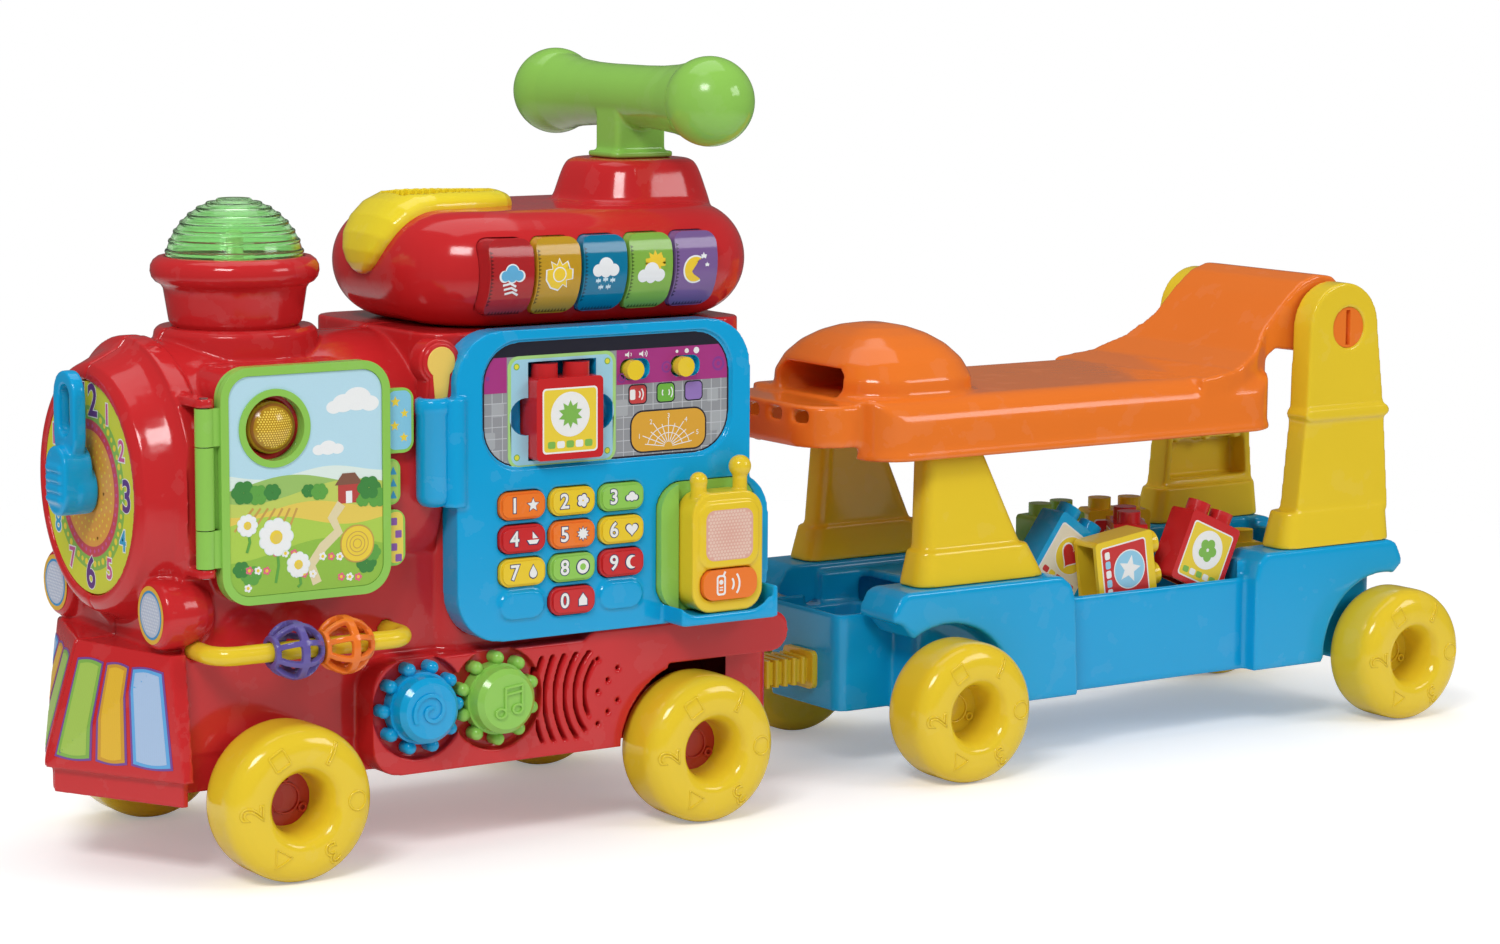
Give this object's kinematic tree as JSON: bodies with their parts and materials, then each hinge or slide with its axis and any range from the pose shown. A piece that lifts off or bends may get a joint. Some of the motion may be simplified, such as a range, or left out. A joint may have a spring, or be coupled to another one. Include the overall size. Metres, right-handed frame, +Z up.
{
  "type": "ride-on toy train with seat wagon",
  "caption": "Ride-on toy train: a loco with clock, book, telephone panel, keys, gears and beads, and a seat wagon hitched behind that carries stacking blocks.",
  "frame": {"origin": "on the floor under the middle of the overall length, on the centre plane", "axes": "+X towards the wagon (the loco faces -X), the telephone panel is on the -Y side, +Z up"},
  "size_m": [1.016, 0.239, 0.4674],
  "materials": {
    "red_plastic": "gloss",
    "blue_plastic": "gloss",
    "yellow_plastic": "gloss",
    "green_plastic": "gloss",
    "orange_plastic": "gloss",
    "purple_plastic": "gloss",
    "dial_print": "printed",
    "clear_green": "clear",
    "clear_amber": "clear",
    "clear_red": "clear",
    "clear_blue": "clear",
    "clear_lime": "clear",
    "clear_violet": "clear",
    "lamp_white": "frosted",
    "steel": "drawn",
    "black_plastic": "matt",
    "board_green": "board"
  },
  "bodies": {
    "loco": {"shell_left": "red_plastic", "shell_right": "red_plastic", "roof_cover": "red_plastic", "chimney": "red_plastic", "dome_lens": "clear_green", "dome_lamp": "lamp_white", "carry_handle": "yellow_plastic", "push_handle": "green_plastic", "clock_dial": "dial_print", "page_pin": "steel", "phone_panel": "blue_plastic", "handset_cradle": "green_plastic", "bead_rod": "yellow_plastic", "base_plate": "red_plastic", "battery_door": "red_plastic", "speaker": "black_plastic", "circuit_board": "board_green"},
    "clock_hand": {"clock_hand": "blue_plastic"},
    "page_back": {"page_back": "green_plastic"},
    "page_front": {"page_front": "green_plastic"},
    "light_button": {"light_button": "clear_amber"},
    "key_1": {"key_1": "clear_red"},
    "key_2": {"key_2": "clear_amber"},
    "key_3": {"key_3": "clear_blue"},
    "key_4": {"key_4": "clear_lime"},
    "key_5": {"key_5": "clear_violet"},
    "button_0": {"button_0": "red_plastic"},
    "button_1": {"button_1": "orange_plastic"},
    "button_2": {"button_2": "yellow_plastic"},
    "button_3": {"button_3": "green_plastic"},
    "button_4": {"button_4": "red_plastic"},
    "button_5": {"button_5": "orange_plastic"},
    "button_6": {"button_6": "yellow_plastic"},
    "button_7": {"button_7": "yellow_plastic"},
    "button_8": {"button_8": "green_plastic"},
    "button_9": {"button_9": "red_plastic"},
    "volume_switch": {"volume_switch": "yellow_plastic"},
    "mode_switch": {"mode_switch": "yellow_plastic"},
    "tray_block": {"tray_block": "red_plastic"},
    "handset": {"handset": "yellow_plastic"},
    "handset_button": {"handset_button": "orange_plastic"},
    "bead_front": {"bead_front": "purple_plastic"},
    "bead_rear": {"bead_rear": "orange_plastic"},
    "gear_front": {"gear_front": "blue_plastic"},
    "gear_rear": {"gear_rear": "green_plastic"},
    "loco_front_set": {"loco_front_wheels": "yellow_plastic", "loco_front_axle": "steel"},
    "loco_rear_set": {"loco_rear_wheels": "yellow_plastic", "loco_rear_axle": "steel"},
    "wagon": {"tub": "blue_plastic", "hitch": "yellow_plastic", "front_posts": "yellow_plastic", "rear_posts": "yellow_plastic", "seat_pins": "orange_plastic", "letter_blocks": "yellow_plastic"},
    "seat": {"seat": "orange_plastic"},
    "wagon_front_set": {"wagon_front_wheels": "yellow_plastic", "wagon_front_axle": "steel"},
    "wagon_rear_set": {"wagon_rear_wheels": "yellow_plastic", "wagon_rear_axle": "steel"}
  },
  "joints": [
    {"name": "loco_front_spin", "type": "hinge", "parent": "loco", "child": "loco_front_set", "pos_m": [-0.4, 0, 0.046], "axis": [0, 1, 0], "continuous": true},
    {"name": "loco_rear_spin", "type": "hinge", "parent": "loco", "child": "loco_rear_set", "pos_m": [-0.12, 0, 0.046], "axis": [0, 1, 0], "continuous": true},
    {"name": "tow_swing", "type": "hinge", "parent": "loco", "child": "wagon", "pos_m": [-0.028, 0, 0.065], "axis": [0, 0, 1], "range_deg": [-20, 20]},
    {"name": "wagon_front_spin", "type": "hinge", "parent": "wagon", "child": "wagon_front_set", "pos_m": [0.082, 0, 0.046], "axis": [0, 1, 0], "continuous": true},
    {"name": "wagon_rear_spin", "type": "hinge", "parent": "wagon", "child": "wagon_rear_set", "pos_m": [0.462, 0, 0.046], "axis": [0, 1, 0], "continuous": true},
    {"name": "seat_lift", "type": "hinge", "parent": "wagon", "child": "seat", "pos_m": [0.427, 0, 0.274], "axis": [0, 1, 0], "range_deg": [0, 95]},
    {"name": "clock_turn", "type": "hinge", "parent": "loco", "child": "clock_hand", "pos_m": [-0.48, 0, 0.221], "axis": [1, 0, 0], "continuous": true},
    {"name": "page_back_open", "type": "hinge", "parent": "loco", "child": "page_back", "pos_m": [-0.446, -0.0884, 0.229], "axis": [0, 0, -1], "range_deg": [0, 75]},
    {"name": "page_front_open", "type": "hinge", "parent": "page_back", "child": "page_front", "pos_m": [-0.446, -0.0884, 0.229], "axis": [0, 0, -1], "range_deg": [0, 75]},
    {"name": "light_press", "type": "slide", "parent": "loco", "child": "light_button", "axis": [0, 1, 0], "range_m": [0, 0.0025], "stiffness_N_per_m": 300},
    {"name": "key_1_press", "type": "slide", "parent": "loco", "child": "key_1", "axis": [0, 1, 0], "range_m": [0, 0.0025], "stiffness_N_per_m": 300},
    {"name": "key_2_press", "type": "slide", "parent": "loco", "child": "key_2", "axis": [0, 1, 0], "range_m": [0, 0.0025], "stiffness_N_per_m": 300},
    {"name": "key_3_press", "type": "slide", "parent": "loco", "child": "key_3", "axis": [0, 1, 0], "range_m": [0, 0.0025], "stiffness_N_per_m": 300},
    {"name": "key_4_press", "type": "slide", "parent": "loco", "child": "key_4", "axis": [0, 1, 0], "range_m": [0, 0.0025], "stiffness_N_per_m": 300},
    {"name": "key_5_press", "type": "slide", "parent": "loco", "child": "key_5", "axis": [0, 1, 0], "range_m": [0, 0.0025], "stiffness_N_per_m": 300},
    {"name": "button_0_press", "type": "slide", "parent": "loco", "child": "button_0", "axis": [0, 1, 0], "range_m": [0, 0.0025], "stiffness_N_per_m": 300},
    {"name": "button_1_press", "type": "slide", "parent": "loco", "child": "button_1", "axis": [0, 1, 0], "range_m": [0, 0.0025], "stiffness_N_per_m": 300},
    {"name": "button_2_press", "type": "slide", "parent": "loco", "child": "button_2", "axis": [0, 1, 0], "range_m": [0, 0.0025], "stiffness_N_per_m": 300},
    {"name": "button_3_press", "type": "slide", "parent": "loco", "child": "button_3", "axis": [0, 1, 0], "range_m": [0, 0.0025], "stiffness_N_per_m": 300},
    {"name": "button_4_press", "type": "slide", "parent": "loco", "child": "button_4", "axis": [0, 1, 0], "range_m": [0, 0.0025], "stiffness_N_per_m": 300},
    {"name": "button_5_press", "type": "slide", "parent": "loco", "child": "button_5", "axis": [0, 1, 0], "range_m": [0, 0.0025], "stiffness_N_per_m": 300},
    {"name": "button_6_press", "type": "slide", "parent": "loco", "child": "button_6", "axis": [0, 1, 0], "range_m": [0, 0.0025], "stiffness_N_per_m": 300},
    {"name": "button_7_press", "type": "slide", "parent": "loco", "child": "button_7", "axis": [0, 1, 0], "range_m": [0, 0.0025], "stiffness_N_per_m": 300},
    {"name": "button_8_press", "type": "slide", "parent": "loco", "child": "button_8", "axis": [0, 1, 0], "range_m": [0, 0.0025], "stiffness_N_per_m": 300},
    {"name": "button_9_press", "type": "slide", "parent": "loco", "child": "button_9", "axis": [0, 1, 0], "range_m": [0, 0.0025], "stiffness_N_per_m": 300},
    {"name": "volume_slide", "type": "slide", "parent": "loco", "child": "volume_switch", "axis": [1, 0, 0], "range_m": [0, 0.006]},
    {"name": "mode_slide", "type": "slide", "parent": "loco", "child": "mode_switch", "axis": [1, 0, 0], "range_m": [0, 0.006]},
    {"name": "tray_block_pull", "type": "slide", "parent": "loco", "child": "tray_block", "axis": [0, -1, 0], "range_m": [0, 0.03]},
    {"name": "handset_lift", "type": "slide", "parent": "loco", "child": "handset", "axis": [0, 0, 1], "range_m": [0, 0.06]},
    {"name": "handset_press", "type": "slide", "parent": "handset", "child": "handset_button", "axis": [0, 1, 0], "range_m": [0, 0.002], "stiffness_N_per_m": 300},
    {"name": "bead_front_slide", "type": "slide", "parent": "loco", "child": "bead_front", "axis": [-1, 0, 0], "range_m": [0, 0.018]},
    {"name": "bead_rear_slide", "type": "slide", "parent": "loco", "child": "bead_rear", "axis": [1, 0, 0], "range_m": [0, 0.013]},
    {"name": "gear_front_spin", "type": "hinge", "parent": "loco", "child": "gear_front", "pos_m": [-0.311, -0.086, 0.0895], "axis": [0, 1, 0], "continuous": true},
    {"name": "gear_rear_spin", "type": "hinge", "parent": "loco", "child": "gear_rear", "pos_m": [-0.259, -0.086, 0.0895], "axis": [0, 1, 0], "continuous": true}
  ],
  "couplings": [
    {"joint": "gear_rear_spin", "follows": "gear_front_spin", "ratio": -1}
  ]
}
